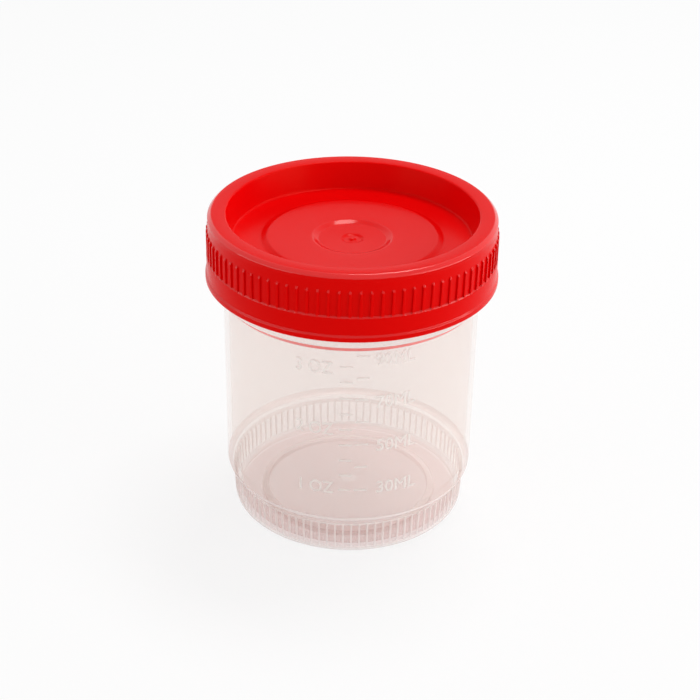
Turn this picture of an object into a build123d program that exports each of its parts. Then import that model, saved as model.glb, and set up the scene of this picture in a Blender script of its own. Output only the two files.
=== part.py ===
"""A screw-lidded specimen container: a thin moulded cup and its ribbed one-piece lid.

Millimetres, +Z up. The origin is on the cup's axis, on the plane that it stands on.
The front of the container, where its volume marks are, faces -Y.
"""

import os
from math import cos, radians, sin

from build123d import *

# Overall
overall_height = 65.0
body_radius = 25.7  # outside of the cup between its foot and its neck
rib_root = 0.2  # how far a rib reaches into the wall that carries it

# Cup: body
body_wall = 0.95
corner_height = 1.0  # rounded corner where the body steps in to the foot
inner_corner_height = 1.5  # slope of the same step inside
floor_thickness = 1.1
floor_bevel = 0.8  # inner corner between the wall and the floor
resting_width = 3.95  # flat ring that the cup stands on, round the floor's raised panel
panel_slope_width = 1.2
panel_lift = 0.4

# Cup: foot
foot_height = 8.3
foot_step = 1.25  # how far the foot stands in from the body
foot_draft = 0.3
foot_edge_width = 1.8  # rounded bottom edge
foot_edge_height = 1.3
foot_band_height = 1.0  # plain band above the ribs
foot_groove_depth = 0.3  # groove round the foot that the ribs stand in
foot_rib_drop = 0.04  # how far the ribs stay below the plain bands
foot_rib_width = 0.5
foot_rib_count = 93
foot_rib_turn = -1.9  # degrees from the front

# Cup: neck
neck_step = 1.05  # how far the neck stands out from the body
neck_wall = 0.85
neck_reveal = 2.35  # neck left in sight below the lid
neck_flare_height = 0.5
neck_taper_height = 1.6  # cone that joins the two inner walls

# Lid: skirt
lid_height = 13.45
thread_gap = 0.9  # between the neck and the skirt, for the threads
skirt_wall = 0.95
lid_rib_height = 0.32
lid_rib_width = 0.5
lid_rib_count = 90
lid_rib_turn = -0.4  # degrees from the front
lid_rib_inset = 3.1  # from the top of the lid down to the ribs
band_height = 5.1  # plain band below the ribs
band_proud = 0.04  # how far that band stands out from the ribs
lip_height = 1.25
lip_flare = 0.28
lip_slope_height = 0.7

# Lid: top
top_thickness = 1.3
shoulder_taper = 0.12
shoulder_inset = 0.1  # plain skirt between the ribs and the shoulder
rim_corner = 1.4  # rounded outer corner

# Lid: plug and the recess inside it
plug_clearance = 0.1  # between the plug and the cup's mouth
plug_wall = 0.85
plug_floor = 1.2
plug_land_height = 1.2  # straight part of the plug, which seals in the mouth
recess_depth = 5.7
recess_draft = 0.95
disc_margin = 5.7  # from the recess's wall in to the raised disc
disc_slope_width = 1.4
disc_lift = 0.25
dimple_radius = 7.9
dimple_slope_width = 1.1
dimple_depth = 0.55
well_margin = 0.4  # how much wider the dimple is underneath

# Heights
lid_bottom = overall_height - lid_height
rim_height = overall_height - top_thickness
neck_base = lid_bottom - neck_reveal
flare_base = neck_base - neck_flare_height
foot_rib_top = foot_height - foot_band_height
ledge_height = lid_bottom + band_height
lid_rib_top = overall_height - lid_rib_inset
shoulder_height = lid_rib_top + shoulder_inset
lip_top = lid_bottom + lip_height
recess_floor = overall_height - recess_depth
disc_top = recess_floor + disc_lift
dimple_floor = disc_top - dimple_depth
plug_bottom = recess_floor - plug_floor
well_bottom = dimple_floor - plug_floor

# Cup radii
body_inner_radius = body_radius - body_wall
foot_radius = body_radius - foot_step
foot_low_radius = foot_radius - foot_draft
foot_groove_radius = foot_low_radius - foot_groove_depth
foot_inner_radius = foot_groove_radius - body_wall
panel_radius = foot_low_radius - foot_edge_width - resting_width
neck_radius = body_radius + neck_step
mouth_radius = neck_radius - neck_wall

# Lid radii
skirt_inner_radius = neck_radius + thread_gap
skirt_radius = skirt_inner_radius + skirt_wall
lid_rib_radius = skirt_radius + lid_rib_height
band_radius = lid_rib_radius + band_proud
lip_radius = band_radius + lip_flare
rim_radius = skirt_radius - shoulder_taper
plug_radius = mouth_radius - plug_clearance
plug_low_radius = plug_radius - recess_draft
recess_radius = plug_radius - plug_wall
recess_floor_radius = recess_radius - recess_draft
disc_radius = recess_floor_radius - disc_margin
well_radius = dimple_radius + well_margin


def rounded(radius, height, across, up, chords=2):
    """Points that round off the corner at radius and height.

    They run from beside the corner, at the distance across, to a point up from it.
    """
    turns = [radians(90 * chord / chords) for chord in range(chords + 1)]
    return [(radius + across * (1 - sin(turn)), height + up * (1 - cos(turn))) for turn in turns]


# Rib on the foot, seen from its side: its face leans with the foot's draft.
with BuildPart() as foot_rib:
    with BuildSketch(Plane.XZ):
        with BuildLine():
            Polyline(
                (foot_groove_radius - rib_root, foot_edge_height),
                (foot_low_radius - foot_rib_drop, foot_edge_height),
                (foot_radius - foot_rib_drop, foot_rib_top),
                (foot_groove_radius - rib_root, foot_rib_top),
                close=True,
            )
        make_face()
    extrude(amount=foot_rib_width / 2, both=True)

# Rib on the lid: its top end slopes back into the skirt.
with BuildPart() as lid_rib:
    with BuildSketch(Plane.XZ):
        with BuildLine():
            Polyline(
                (skirt_radius - rib_root, ledge_height),
                (lid_rib_radius, ledge_height),
                (lid_rib_radius, lid_rib_top - lid_rib_height - rib_root),
                (skirt_radius - rib_root, lid_rib_top),
                close=True,
            )
        make_face()
    extrude(amount=lid_rib_width / 2, both=True)

# Cup: a section turned about the axis, with a groove round its foot that the ribs stand in.
with BuildPart() as cup:
    with BuildSketch(Plane.XZ):
        with BuildLine():
            Polyline(
                (0, panel_lift),
                (panel_radius - panel_slope_width, panel_lift),
                (panel_radius, 0),
                *rounded(foot_low_radius, 0, -foot_edge_width, foot_edge_height),
                (foot_groove_radius, foot_edge_height),
                (foot_groove_radius, foot_rib_top),
                (foot_radius, foot_rib_top),
                *rounded(body_radius, foot_height, -foot_step, corner_height),
                (body_radius, flare_base),
                (neck_radius, neck_base),
                (neck_radius, rim_height),
                (mouth_radius, rim_height),
                (mouth_radius, flare_base + neck_taper_height),
                (body_inner_radius, flare_base),
                (body_inner_radius, foot_height + inner_corner_height),
                (foot_inner_radius, foot_height),
                (foot_inner_radius, floor_thickness + floor_bevel),
                (foot_inner_radius - floor_bevel, floor_thickness),
                (panel_radius, floor_thickness),
                (panel_radius - panel_slope_width, floor_thickness + panel_lift),
                (0, floor_thickness + panel_lift),
                close=True,
            )
        make_face()
    revolve(axis=Axis.Z)
    with PolarLocations(0, foot_rib_count, start_angle=foot_rib_turn - 90):
        add(foot_rib.part)
cup.part.label = "cup"

# Lid: top with its recess, plug and ribbed skirt, turned as one section.
with BuildPart() as lid:
    with BuildSketch(Plane.XZ):
        with BuildLine():
            Polyline(
                (0, dimple_floor),
                (dimple_radius - dimple_slope_width, dimple_floor),
                (dimple_radius, disc_top),
                (disc_radius - disc_slope_width, disc_top),
                (disc_radius, recess_floor),
                (recess_floor_radius, recess_floor),
                (recess_radius, overall_height),
                *rounded(rim_radius, overall_height, -rim_corner, -rim_corner),
                (skirt_radius, shoulder_height),
                (skirt_radius, ledge_height),
                (band_radius, ledge_height),
                (band_radius, lip_top + lip_slope_height),
                (lip_radius, lip_top),
                (lip_radius, lid_bottom),
                (skirt_inner_radius, lid_bottom),
                (skirt_inner_radius, rim_height),
                (plug_radius, rim_height),
                (plug_radius, rim_height - plug_land_height),
                (plug_low_radius, plug_bottom),
                (well_radius, plug_bottom),
                (well_radius - dimple_slope_width, well_bottom),
                (0, well_bottom),
                close=True,
            )
        make_face()
    revolve(axis=Axis.Z)
    with PolarLocations(0, lid_rib_count, start_angle=lid_rib_turn - 90):
        add(lid_rib.part)
lid.part.label = "lid"

os.makedirs("parts", exist_ok=True)
export_step(cup.part, "parts/cup.step")
export_step(lid.part, "parts/lid.step")
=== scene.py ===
"""Specimen container: a translucent ribbed cup with volume marks, and its red ribbed screw lid.

Metres, in the CAD's frame: +Z up along the container's axis, and the marks face -Y.
Profiles are written in millimetres, as (radius, height, rounding).
"""

from math import atan2, cos, hypot, pi, radians, sin, tau

import bmesh
import bpy
from mathutils import Matrix, Vector


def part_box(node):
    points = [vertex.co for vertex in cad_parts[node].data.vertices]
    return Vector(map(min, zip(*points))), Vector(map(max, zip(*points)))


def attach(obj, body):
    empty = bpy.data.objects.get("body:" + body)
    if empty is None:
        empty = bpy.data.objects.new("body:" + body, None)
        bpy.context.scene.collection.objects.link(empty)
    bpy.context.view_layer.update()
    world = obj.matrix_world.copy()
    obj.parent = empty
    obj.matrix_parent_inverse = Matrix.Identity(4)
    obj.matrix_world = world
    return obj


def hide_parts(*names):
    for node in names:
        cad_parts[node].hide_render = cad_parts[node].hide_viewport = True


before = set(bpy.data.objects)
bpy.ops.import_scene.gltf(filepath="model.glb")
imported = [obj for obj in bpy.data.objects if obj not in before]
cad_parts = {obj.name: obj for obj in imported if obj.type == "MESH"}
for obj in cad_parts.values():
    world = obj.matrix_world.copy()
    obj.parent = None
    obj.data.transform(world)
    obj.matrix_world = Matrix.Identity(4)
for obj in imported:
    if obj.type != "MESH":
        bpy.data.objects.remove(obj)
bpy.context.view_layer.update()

mm = 0.001
cup_box = [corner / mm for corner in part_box("cup")]
lid_box = [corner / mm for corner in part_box("lid")]

# Main sizes, from the CAD
neck_radius = cup_box[1].x
rim_height = cup_box[1].z
lip_radius = lid_box[1].x
lid_bottom = lid_box[0].z
lid_top = lid_box[1].z

# Cup
body_top_radius = neck_radius - 1.02
body_radius = neck_radius - 1.11
body_wall = 0.95
foot_radius = neck_radius - 2.3
foot_low_radius = foot_radius - 0.3
foot_height = 8.3
foot_rib_bottom = 1.3
foot_rib_top = 7.3
foot_groove_radius = foot_low_radius - 0.3
foot_inner_radius = foot_groove_radius - body_wall
foot_rib_count = 93
foot_rib_turn = -1.9  # degrees from the front
foot_rib_width = 0.42
floor_thickness = 1.1
panel_radius = 18.4  # raised middle of the floor
panel_slope_width = 1.2
panel_lift = 0.4
neck_base = lid_bottom - 2.5
neck_flare = 1.25
mouth_radius = neck_radius - 0.85

# Lid
ledge_height = lid_bottom + 4.8
lid_rib_top = lid_top - 3.1
skirt_radius = lip_radius - 0.64
skirt_inner_radius = skirt_radius - 0.95
lid_rib_radius = skirt_radius + 0.32
lid_rib_count = 90
lid_rib_turn = -0.4  # degrees from the front
lid_rib_width = 0.5
lip_slope_top = lid_bottom + 1.3
crest_radius = 27.9  # where the flat rim ends and its outer edge begins
recess_radius = 24.95
recess_floor_radius = 24.0
recess_floor = lid_top - 5.7
disc_radius = 18.1  # raised disc in the recess
disc_edge_radius = disc_radius - 1.2
disc_top = recess_floor + 0.25
dimple_radius = 7.9  # dimple in the disc
dimple_slope_width = 1.1
dimple_floor = disc_top - 0.55
plug_radius = 25.8
plug_low_radius = plug_radius - 0.95
plug_floor = 1.2

# Ribs
gap_rise = 0.3  # slope that ends the gap between two ribs
rib_bevel = 0.09
rib_flank = 50  # degrees: the edges of a rib turn by more than this
slack = 0.01  # when heights and radii are compared

# Screw thread, right-handed
thread_turns = 1.25
thread_pitch = 4.0
thread_azimuth = 40
thread_steps = 72  # in one turn
thread_fade = 10  # steps in which each end fades
thread_height = 0.68
thread_base = 0.55  # half of the ridge's height at the wall
thread_crest = 0.2  # half of it at the crest
thread_sink = 0.12  # how far the ridge reaches into its wall
cup_thread_start = lid_bottom + 1.6
lid_thread_start = lid_bottom + 3.6

# Volume marks: heights in millimetres on the front of the cup
millilitre_ticks = (46.71, 41.91, 37.16, 32.11, 26.98, 21.8, 16.35)
ounce_ticks = (44.34, 40.98, 37.37, 33.84, 30.36, 26.84, 23.28, 19.78, 16.35)
millilitre_azimuth = 5.56
ounce_azimuth = -1.45
tick_width = 2.5
tick_height = 0.34
tick_bevel = 0.05
mark_proud = 0.12  # how far the marks stand out
mark_sink = 0.1  # how far they reach into the wall

# Labels: words, azimuth, height and width
labels = (
    ("3 OZ", -15.4, 44.0, 7.3), ("2 OZ", -15.1, 30.4, 7.4), ("1 OZ", -14.1, 16.8, 6.9),
    ("90ML", 19.75, 45.9, 8.0), ("70ML", 20.4, 36.55, 8.1), ("50ML", 21.2, 26.7, 8.2),
    ("30ML", 21.9, 16.8, 8.3),
)
label_height = 2.75

sharp_angle = 35  # degrees: edges that turn by more than this aren't shaded smooth
weld = 0.002 * mm  # vertices closer than this become one


# Shapes

def polar(azimuth, radius, height):
    """A point at an azimuth in degrees: 0 is the front, and it grows to the right."""
    turn = radians(azimuth - 90)
    return Vector((radius * cos(turn), radius * sin(turn), height)) * mm


def section(mesh, corners, azimuth):
    """Draws a closed profile in the half plane at an azimuth, with its corners rounded."""
    made = [mesh.verts.new(polar(azimuth, radius, height)) for radius, height, _ in corners]
    for pair in zip(made, made[1:] + made[:1]):
        mesh.edges.new(pair)
    for corner, (_, _, rounding) in zip(made, corners):
        if rounding:
            bmesh.ops.bevel(
                mesh, geom=[corner], offset=rounding * mm, offset_type="OFFSET", segments=4,
                profile=0.5, affect="VERTICES", material=-1,
            )


def sweep(mesh, geometry, angle, steps):
    """Turns a profile about the axis, and returns it at the end of its turn."""
    turned = bmesh.ops.spin(
        mesh, geom=geometry, cent=(0, 0, 0), axis=(0, 0, 1), angle=radians(angle), steps=steps
    )
    return turned["geom_last"]


def move_radius(vertices, radius):
    """Moves vertices in or out to a radius in millimetres."""
    for vertex in vertices:
        reach = hypot(vertex.co.x, vertex.co.y)
        vertex.co.x *= radius * mm / reach
        vertex.co.y *= radius * mm / reach


def ribbed(corners, count, turn, width, radius, bottom, top, root):
    """A turned shell with upright ribs, between the heights bottom and top.

    One pitch of it is turned first, from the middle of a rib to the middle of the next.
    The gap between them is pushed in to the radius root, and the pitch is then repeated.
    """
    mesh = bmesh.new()
    section(mesh, corners, turn)
    pitch = 360 / count
    half_rib = width / radius * 180 / pi / 2
    line = mesh.verts[:] + mesh.edges[:]
    line = sweep(mesh, line, half_rib, 1)
    line = sweep(mesh, line, pitch - 2 * half_rib, 4)
    sweep(mesh, line, half_rib, 1)
    bmesh.ops.remove_doubles(mesh, verts=mesh.verts, dist=weld)
    gap = []
    for face in mesh.faces:
        centre = face.calc_center_median() / mm
        azimuth = (atan2(centre.y, centre.x) * 180 / pi + 90 - turn) % 360
        between = half_rib < azimuth < pitch - half_rib
        outside = hypot(centre.x, centre.y) > root + 2 * slack
        if between and outside and bottom < centre.z < top:
            gap.append(face)
    pushed = bmesh.ops.extrude_face_region(mesh, geom=gap)["geom"]
    bmesh.ops.delete(mesh, geom=gap, context="FACES_ONLY")
    vertices = [item for item in pushed if isinstance(item, bmesh.types.BMVert)]
    move_radius([vertex for vertex in vertices if vertex.co.z < (top - slack) * mm], root)
    low = [vertex for vertex in vertices if vertex.co.z < (bottom + slack) * mm]
    bmesh.ops.translate(mesh, vec=(0, 0, gap_rise * mm), verts=low)
    bmesh.ops.remove_doubles(mesh, verts=mesh.verts, dist=weld)
    bmesh.ops.recalc_face_normals(mesh, faces=mesh.faces)
    rim = []
    for edge in mesh.edges:
        middle = (edge.verts[0].co + edge.verts[1].co) / 2 / mm
        out = hypot(middle.x, middle.y) > root + 10 * slack
        if out and bottom - slack < middle.z < top and len(edge.link_faces) == 2:
            if edge.calc_face_angle() > radians(rib_flank):
                rim.append(edge)
    bmesh.ops.bevel(
        mesh, geom=rim, offset=rib_bevel * mm, offset_type="OFFSET", segments=2,
        profile=0.5, affect="EDGES", material=-1,
    )
    everything = mesh.verts[:] + mesh.edges[:] + mesh.faces[:]
    bmesh.ops.spin(
        mesh, geom=everything, cent=(0, 0, 0), axis=(0, 0, 1),
        angle=radians(360 - pitch), steps=count - 1, use_duplicate=True,
    )
    bmesh.ops.remove_doubles(mesh, verts=mesh.verts, dist=weld)
    bmesh.ops.dissolve_degenerate(mesh, edges=mesh.edges, dist=weld / 10)
    return mesh


def add_thread(shell, root, crest, height):
    """Adds a screw thread's ridge to a wall, that fades into it at both ends."""
    steps = int(thread_turns * thread_steps)
    sunk = root + thread_sink if crest < root else root - thread_sink
    sunk_base = thread_base + 0.07
    outline = [
        (sunk, -sunk_base), (root, -thread_base), (crest, -thread_crest),
        (crest, thread_crest), (root, thread_base), (sunk, sunk_base),
    ]
    mesh = bmesh.new()
    line = [mesh.verts.new(polar(thread_azimuth, out, height + up)) for out, up in outline]
    ring = line + [mesh.edges.new(pair) for pair in zip(line, line[1:] + line[:1])]
    bmesh.ops.spin(
        mesh, geom=ring, cent=(0, 0, 0), axis=(0, 0, 1), angle=tau * thread_turns,
        steps=steps, dvec=(0, 0, thread_pitch * mm * thread_turns / steps),
    )
    for index, vertex in enumerate(mesh.verts):
        step = index // len(outline)
        share = min(step, steps - step, thread_fade) / thread_fade
        reach = hypot(vertex.co.x, vertex.co.y) / mm
        move_radius([vertex], sunk + (reach - sunk) * share)
    ends = [edge for edge in mesh.edges if edge.is_boundary]
    bmesh.ops.holes_fill(mesh, edges=ends, sides=0)
    bmesh.ops.recalc_face_normals(mesh, faces=mesh.faces)
    join(shell, mesh)


def join(mesh, addition):
    """Puts the geometry of another mesh into this one."""
    data = bpy.data.meshes.new("addition")
    addition.to_mesh(data)
    addition.free()
    mesh.from_mesh(data)
    bpy.data.meshes.remove(data)


def wrap(mesh, azimuth, height):
    """Bends a flat mesh, drawn across and up in millimetres, round the cup's wall."""
    for vertex in mesh.verts:
        across, up, proud = vertex.co
        radius = wall_radius(height + up) + proud
        vertex.co = polar(azimuth + across / radius * 180 / pi, radius, height + up)


def bar(across, up, proud):
    """A raised bar with rounded edges, drawn flat."""
    mesh = bmesh.new()
    bmesh.ops.create_cube(mesh, size=1.0)
    bmesh.ops.scale(mesh, vec=(across, up, proud + mark_sink), verts=mesh.verts)
    bmesh.ops.translate(mesh, vec=(0, 0, (proud - mark_sink) / 2), verts=mesh.verts)
    edges = [edge for edge in mesh.edges if edge.calc_length() > proud + mark_sink + 0.001]
    bmesh.ops.bevel(
        mesh, geom=edges, offset=tick_bevel, offset_type="OFFSET", segments=2,
        profile=0.5, affect="EDGES", material=-1,
    )
    return mesh


def lettering(words, width, cap_height, proud):
    """Plain raised letters, drawn flat, with their middle at the origin.

    The curve's own values are in units of its letter height, and it is then scaled to size.
    """
    text = bpy.data.curves.new("letters", "FONT")
    text.body = words
    text.resolution_u = 4
    text.extrude = 0.1
    text.offset = -0.006
    text.bevel_depth = 0.014
    text.bevel_resolution = 1
    holder = bpy.data.objects.new("letters", text)
    bpy.context.scene.collection.objects.link(holder)
    data = bpy.data.meshes.new_from_object(holder)
    mesh = bmesh.new()
    mesh.from_mesh(data)
    bpy.data.objects.remove(holder)
    bpy.data.curves.remove(text)
    bpy.data.meshes.remove(data)
    low = Vector([min(vertex.co[axis] for vertex in mesh.verts) for axis in range(3)])
    high = Vector([max(vertex.co[axis] for vertex in mesh.verts) for axis in range(3)])
    size = high - low
    bmesh.ops.translate(mesh, vec=-(low + high) / 2, verts=mesh.verts)
    scale = (width / size.x, cap_height / size.y, (proud + mark_sink) / size.z)
    bmesh.ops.scale(mesh, vec=scale, verts=mesh.verts)
    bmesh.ops.translate(mesh, vec=(0, 0, (proud - mark_sink) / 2), verts=mesh.verts)
    bmesh.ops.remove_doubles(mesh, verts=mesh.verts, dist=0.001)
    return mesh


def piece(name, mesh, material, body):
    """Makes the finished mesh a piece of the scene."""
    bmesh.ops.recalc_face_normals(mesh, faces=mesh.faces)
    data = bpy.data.meshes.new(name)
    mesh.to_mesh(data)
    mesh.free()
    data.shade_smooth()
    data.set_sharp_from_angle(angle=radians(sharp_angle))
    data.materials.append(material)
    made = bpy.data.objects.new(name, data)
    bpy.context.scene.collection.objects.link(made)
    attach(made, body)
    return made


# Finishes

class Field:
    """A value that varies over a piece: one output of a node, which can be used in sums."""

    def __init__(self, tree, socket=None):
        self.tree = tree
        self.socket = socket

    def node(self, kind, inputs, output=0, **settings):
        """Adds a node of any kind, with its settings first, and returns one of its outputs."""
        made = self.tree.nodes.new("ShaderNode" + kind)
        for name, setting in settings.items():
            setattr(made, name, setting)
        for name, value in inputs.items():
            if isinstance(value, Field):
                self.tree.links.new(value.socket, made.inputs[name])
            else:
                made.inputs[name].default_value = value
        return Field(self.tree, made.outputs[output])

    def sum(self, operation, first, second):
        return self.node("Math", {0: first, 1: second}, operation=operation)

    def __add__(self, other):
        return self.sum("ADD", self, other)

    def __sub__(self, other):
        return self.sum("SUBTRACT", self, other)

    def __rsub__(self, other):
        return self.sum("SUBTRACT", other, self)

    def __mul__(self, other):
        return self.sum("MULTIPLY", self, other)

    def __truediv__(self, other):
        return self.sum("DIVIDE", self, other)

    def __pow__(self, other):
        return self.sum("POWER", self, other)

    __radd__ = __add__
    __rmul__ = __mul__

    def step(self, low, high):
        """0 below low, 1 above high, and smooth between them."""
        return self.node(
            "MapRange", {"Value": self, "From Min": low, "From Max": high},
            interpolation_type="SMOOTHSTEP",
        )

    def band(self, low, high, soft):
        """1 between low and high, and 0 outside them."""
        return self.step(low - soft, low + soft) * (1 - self.step(high - soft, high + soft))

    def blend(self, first, second):
        """Goes from the first colour to the second as this value goes from 0 to 1."""
        return self.node(
            "Mix", {"Factor": self, "A": first, "B": second}, "Result", data_type="RGBA"
        )


def colour(red, green, blue):
    return (red, green, blue, 1.0)


class Finish:
    """A moulded plastic: its material, shader and the fields that it varies with."""

    def __init__(self, name, **constants):
        self.material = bpy.data.materials.new(name)
        self.material.use_nodes = True
        self.tree = self.material.node_tree
        self.shader = self.tree.nodes["Principled BSDF"]
        for socket, value in constants.items():
            self.shader.inputs[socket.replace("_", " ")].default_value = value
        self.place = Field(self.tree).node("TexCoord", {}, "Object")
        x, y, self.height = (
            self.place.node("SeparateXYZ", {0: self.place}, axis) / mm for axis in "XYZ"
        )
        self.radius = (x * x + y * y) ** 0.5

    def noise(self, size, detail=2.0):
        """Noise from 0 to 1, whose spots are about size millimetres across."""
        return self.place.node(
            "TexNoise", {"Vector": self.place, "Scale": 1 / (size * mm), "Detail": detail}
        )

    def set(self, socket, field):
        self.tree.links.new(field.socket, self.shader.inputs[socket])

    def bump(self, field, distance):
        bumped = field.node("Bump", {"Height": field, "Strength": 1.0, "Distance": distance * mm})
        self.set("Normal", bumped)


def lid_plastic():
    """Opaque red polyethylene, satin, with a coat on the edges that catch the light."""
    finish = Finish(
        "lid_red_plastic", Specular_IOR_Level=0.07, Specular_Tint=colour(1, 0.5, 0.3),
        Coat_Roughness=0.1,
    )
    clouds = finish.noise(14)
    mottle = finish.noise(1.6, 3.0)
    up = finish.height
    out = finish.radius
    deep = colour(0.72, 0.0, 0.001)
    bright = colour(0.77, 0.001, 0.001)
    finish.set("Base Color", (clouds * 0.6 + mottle * 0.4).blend(deep, bright))
    crest = up.band(lid_top - 0.72, lid_top + 1, 0.03) * out.step(crest_radius - 0.2, crest_radius)
    rib_tops = up.band(lid_rib_top - 0.5, lid_rib_top, 0.06)
    rib_tops = rib_tops * out.step(skirt_radius, skirt_radius + 0.08)
    ledge = up.band(ledge_height, ledge_height + gap_rise, 0.05)
    lip = up.band(lip_slope_top - 0.35, lip_slope_top + 0.05, 0.05)
    lip = lip * out.step(lip_radius - 0.34, lip_radius - 0.24)
    in_recess = 1 - up.step(recess_floor + 0.7, recess_floor + 1.7)
    slope = out.band(dimple_radius - 1.2, dimple_radius + 0.2, 0.1) * in_recess
    disc = (1 - out.step(disc_edge_radius, disc_edge_radius + 0.3)) * in_recess
    coat = crest * 0.9 + (rib_tops + ledge + lip) * 0.6 + slope * 0.3 + disc * 0.05
    finish.set("Coat Weight", coat)
    finish.set("Roughness", 0.2 + mottle * 0.06 + clouds * 0.04)
    finish.bump(finish.noise(0.35), 0.004)
    return finish.material


def cup_plastic():
    """Milky polypropylene that lets the inside show, denser and paler where its wall is thicker.

    The slope below the neck carries a painted red line, a painted reflection of the lid. The floor
    and the gaps between the foot's ribs are painted pink, as painted red light from the lid. A
    ring on the floor is painted lighter, as a painted highlight.
    """
    finish = Finish("cup_clear_plastic", Specular_IOR_Level=0.5)
    clouds = finish.noise(12)
    mottle = finish.noise(1.2, 3.0)
    up = finish.height
    out = finish.radius
    # Painted reflection: a red line on the slope below the neck, where the lid's red is reflected
    neck_painted_reflection = up.band(neck_base - neck_flare, neck_base - 0.05, 0.05)
    neck_painted_reflection = neck_painted_reflection * out.step(body_top_radius + 0.02, body_top_radius + 0.07)
    step_ring = up.band(foot_height - 0.1, foot_height + 1.1, 0.08)
    step_ring = step_ring * out.step(foot_radius + 0.05, foot_radius + 0.25)
    groove = up.band(foot_rib_bottom, foot_rib_top, 0.05)
    ribs = groove * out.step(foot_groove_radius + 0.1, foot_groove_radius + 0.17)
    gaps = groove * out.band(foot_groove_radius - 0.05, foot_groove_radius + 0.1, 0.02)
    floor = 1 - up.step(floor_thickness + 0.8, floor_thickness + 1.1)
    floor = floor * (1 - out.step(foot_inner_radius - 0.3, foot_inner_radius))
    # Painted highlight: a lighter, more opaque ring on the slope of the floor
    floor_ring_painted_highlight = floor * out.band(panel_radius - 1.3, panel_radius, 0.1)
    edge_ring = 1 - up.step(foot_rib_bottom - 0.3, foot_rib_bottom)
    edge_ring = edge_ring * out.step(foot_inner_radius, foot_inner_radius + 0.5)
    milk = (clouds * 0.5 + mottle * 0.5).blend(colour(0.97, 0.83, 0.75), colour(1, 0.87, 0.79))
    # Painted light: the floor and the gaps between the foot's ribs are painted pink, for the red
    # light of the lid
    milk_and_painted_pink = (floor * 0.85 + gaps * 0.7).blend(milk, colour(0.93, 0.56, 0.53))
    # Paler where the plastic is dense (step ring, bottom edge, ribs), plus the painted highlight
    # on the floor ring
    pale_and_painted_highlight = floor_ring_painted_highlight * 0.9 + step_ring + edge_ring + ribs * 0.8
    milk_and_painted_light = pale_and_painted_highlight.blend(milk_and_painted_pink, colour(1, 0.92, 0.9))
    # The red here is the painted reflection of the lid on the neck's slope
    finish.set("Base Color", neck_painted_reflection.blend(milk_and_painted_light, colour(0.9, 0.1, 0.09)))
    # More opaque where the plastic is thick (step ring, bottom edge, ribs), and where the painted
    # reflection of the lid lies
    thick_and_painted_reflection = neck_painted_reflection * 0.65 + step_ring * 0.42 + edge_ring * 0.28 + ribs * 0.3
    finish.set("Alpha", 0.2 + thick_and_painted_reflection + floor * 0.12 + floor_ring_painted_highlight * 0.4)
    finish.set("Roughness", 0.16 + mottle * 0.08)
    finish.bump(finish.noise(0.5), 0.003)
    return finish.material


def mark_plastic():
    """The cup's plastic where it is raised into thin marks, which look denser and lighter."""
    finish = Finish("cup_mark_plastic", Specular_IOR_Level=0.5)
    mottle = finish.noise(0.8, 3.0)
    finish.set("Base Color", mottle.blend(colour(1, 0.94, 0.9), colour(1, 0.98, 0.95)))
    finish.set("Alpha", 0.36 + mottle * 0.14)
    finish.set("Roughness", 0.15 + mottle * 0.1)
    finish.bump(finish.noise(0.4), 0.003)
    return finish.material


lid_material = lid_plastic()
cup_material = cup_plastic()
mark_material = mark_plastic()


# Lid

# Its section from the gate's pit out over the rim, down the skirt and back up inside
lid_profile = [
    (0.0, dimple_floor + 0.08, 0.0),
    (0.45, dimple_floor + 0.08, 0.12),
    (0.75, dimple_floor - 0.24, 0.1),
    (1.7, dimple_floor - 0.26, 0.15),
    (2.25, dimple_floor, 0.15),
    (dimple_radius - dimple_slope_width, dimple_floor, 0.25),
    (dimple_radius, disc_top, 0.3),
    (12.5, disc_top + 0.08, 2.0),
    (disc_edge_radius, disc_top + 0.27, 0.25),
    (disc_radius, recess_floor, 0.25),
    (recess_floor_radius, recess_floor, 0.45),
    (recess_radius, lid_top - 0.05, 0.3),
    (crest_radius, lid_top, 0.12),
    (skirt_radius - 0.46, lid_top - 0.2, 0.0),
    (skirt_radius - 0.4, lid_top - 0.25, 0.0),
    (skirt_radius, lid_top - 0.65, 0.15),
    (skirt_radius - 0.08, lid_top - 1.4, 0.3),
    (skirt_radius, lid_rib_top + 0.1, 0.2),
    (skirt_radius, lid_rib_top, 0.0),
    (lid_rib_radius, lid_rib_top - 0.36, 0.1),
    (lid_rib_radius, ledge_height, 0.0),
    (lid_rib_radius + 0.03, ledge_height - 0.12, 0.0),
    (lid_rib_radius + 0.03, lip_slope_top, 0.1),
    (lip_radius, lip_slope_top - 0.3, 0.12),
    (lip_radius, lid_bottom, 0.15),
    (skirt_inner_radius, lid_bottom, 0.25),
    (skirt_inner_radius, rim_height, 0.25),
    (plug_radius, rim_height, 0.2),
    (plug_radius, rim_height - 1.2, 0.3),
    (plug_low_radius, recess_floor - plug_floor, 0.3),
    (dimple_radius + 0.4, recess_floor - plug_floor, 0.3),
    (dimple_radius - 0.7, dimple_floor - plug_floor, 0.3),
    (0.0, dimple_floor - plug_floor, 0.0),
]


def lid_shell():
    mesh = ribbed(
        lid_profile, lid_rib_count, lid_rib_turn, lid_rib_width, lid_rib_radius,
        ledge_height, lid_rib_top, skirt_radius,
    )
    add_thread(mesh, skirt_inner_radius, skirt_inner_radius - thread_height, lid_thread_start)
    return mesh


lid = piece("lid_shell", lid_shell(), lid_material, "lid")
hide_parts("lid")


# Cup

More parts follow.
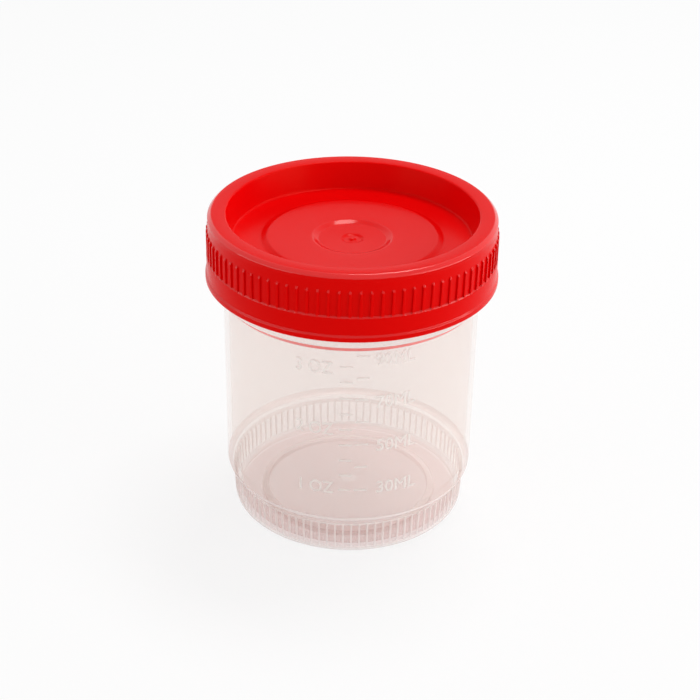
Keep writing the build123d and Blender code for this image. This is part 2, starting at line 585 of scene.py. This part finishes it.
# Its section from the gate's pit below out under the floor, up the wall and back down inside
cup_profile = [
    (0.0, 1.15, 0.0),
    (0.9, 1.1, 0.3),
    (1.6, panel_lift, 0.2),
    (panel_radius - panel_slope_width, panel_lift, 0.4),
    (panel_radius, 0.0, 0.4),
    (foot_low_radius - 0.25, 0.0, 1.0),
    (foot_low_radius, foot_rib_bottom, 0.0),
    (foot_radius - 0.05, foot_rib_top - 0.9, 0.0),
    (foot_radius, foot_rib_top, 0.0),
    (foot_radius, foot_height, 0.25),
    (foot_radius + 0.75, foot_height + 0.12, 0.5),
    (body_radius, foot_height + 1.2, 0.5),
    (body_top_radius, neck_base - neck_flare, 0.12),
    (neck_radius, neck_base, 0.12),
    (neck_radius, rim_height, 0.3),
    (mouth_radius, rim_height, 0.3),
    (mouth_radius, neck_base + 1.1, 0.4),
    (body_top_radius - body_wall, neck_base - 0.5, 0.4),
    (body_radius - body_wall, foot_height + 1.5, 0.8),
    (foot_inner_radius, foot_height, 0.5),
    (foot_inner_radius, floor_thickness, 0.8),
    (panel_radius, floor_thickness, 0.4),
    (panel_radius - panel_slope_width, floor_thickness + panel_lift, 0.4),
    (2.1, floor_thickness + panel_lift, 0.3),
    (1.5, 2.2, 0.3),
    (0.0, 2.3, 0.0),
]


def cup_shell():
    mesh = ribbed(
        cup_profile, foot_rib_count, foot_rib_turn, foot_rib_width, foot_radius,
        foot_rib_bottom, foot_rib_top, foot_groove_radius,
    )
    add_thread(mesh, neck_radius, neck_radius + thread_height, cup_thread_start)
    return mesh


def wall_radius(height):
    """Outside radius of the cup's wall, which widens a little towards the neck."""
    share = (height - foot_height) / (neck_base - foot_height)
    return body_radius + (body_top_radius - body_radius) * share


def volume_marks():
    """Raised ticks and labels of the scale, bent round the wall."""
    marks = bmesh.new()
    ticks = [(millilitre_azimuth, height) for height in millilitre_ticks]
    ticks += [(ounce_azimuth, height) for height in ounce_ticks]
    for azimuth, height in ticks:
        tick = bar(tick_width, tick_height, mark_proud)
        wrap(tick, azimuth, height)
        join(marks, tick)
    for words, azimuth, height, width in labels:
        label = lettering(words, width, label_height, mark_proud)
        wrap(label, azimuth, height)
        join(marks, label)
    return marks


cup = piece("cup_shell", cup_shell(), cup_material, "container")
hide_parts("cup")
piece("volume_marks", volume_marks(), mark_material, "container")


# Stage

def seen(start):
    """1 for rays that show a surface, straight, mirrored or through a clear one, else 0."""
    kinds = ("Is Camera Ray", "Is Glossy Ray", "Is Transmission Ray")
    straight, mirrored, through = [start.node("LightPath", {}, kind) for kind in kinds]
    return start.sum("MAXIMUM", start.sum("MAXIMUM", straight, mirrored), through)


def stage():
    """Pale floor that keeps a soft shadow, in a white room."""
    material = bpy.data.materials.new("floor_white")
    material.use_nodes = True
    tree = material.node_tree
    shader = tree.nodes["Principled BSDF"]
    shader.inputs["Base Color"].default_value = colour(0.88, 0.88, 0.88)
    shader.inputs["Roughness"].default_value = 0.9
    shader.inputs["Specular IOR Level"].default_value = 0.0
    start = Field(tree)
    white = start.node("Emission", {"Color": colour(1, 1, 1), "Strength": 1.0})
    own = Field(tree, shader.outputs["BSDF"])
    mixed = start.node("MixShader", {0: seen(start) * 0.8, 1: own, 2: white})
    tree.links.new(mixed.socket, tree.nodes["Material Output"].inputs["Surface"])
    mesh = bmesh.new()
    bmesh.ops.create_grid(mesh, x_segments=2, y_segments=2, size=3.0)
    bmesh.ops.translate(mesh, vec=(0, 0, -0.05 * mm), verts=mesh.verts)
    data = bpy.data.meshes.new("floor")
    mesh.to_mesh(data)
    mesh.free()
    data.materials.append(material)
    floor = bpy.data.objects.new("floor", data)
    bpy.context.scene.collection.objects.link(floor)


def sky(level):
    """The world: white where it is seen, and softer as a light."""
    world = bpy.data.worlds.new("room")
    bpy.context.scene.world = world
    world.use_nodes = True
    tree = world.node_tree
    background = tree.nodes["Background"]
    background.inputs["Color"].default_value = colour(1, 1, 1)
    strength = level + seen(Field(tree)) * (1 - level)
    tree.links.new(strength.socket, background.inputs["Strength"])


def softbox(name, place, target, size, radiance):
    """A rectangular studio light that looks at a target, in metres.

    Its energy is worked out from the radiance, so that size doesn't change how bright it looks.
    """
    light = bpy.data.lights.new(name, "AREA")
    light.shape = "RECTANGLE"
    light.size, light.size_y = size
    light.energy = radiance * pi * size[0] * size[1]
    made = bpy.data.objects.new(name, light)
    made.location = place
    made.rotation_euler = (Vector(place) - Vector(target)).to_track_quat("Z", "Y").to_euler()
    bpy.context.scene.collection.objects.link(made)


def camera():
    """Looks down at the front, from where the photograph was taken."""
    lens = bpy.data.cameras.new("camera")
    lens.sensor_width = 36.0
    lens.lens = 80.23
    made = bpy.data.objects.new("camera", lens)
    place = Matrix.Translation(Vector((-0.07, -280.14, 191.28)) * mm)
    pitch = Matrix.Rotation(radians(90 - 29.373), 4, "X")
    roll = Matrix.Rotation(radians(1.08), 4, "Z")
    made.matrix_world = place @ pitch @ roll
    bpy.context.scene.collection.objects.link(made)
    bpy.context.scene.camera = made


stage()
sky(0.5)
softbox("overhead", (0.15, 0.19, 0.70), (0.0, 0.0, 0.06), (0.36, 0.2), 10.0)
softbox("right_side", (1.1, -0.35, 0.35), (0.0, 0.0, 0.04), (1.2, 0.7), 2.7)
softbox("left_side", (-1.1, -0.45, 0.35), (0.0, 0.0, 0.04), (1.2, 0.7), 1.3)
camera()
bpy.context.scene.view_settings.view_transform = "Standard"
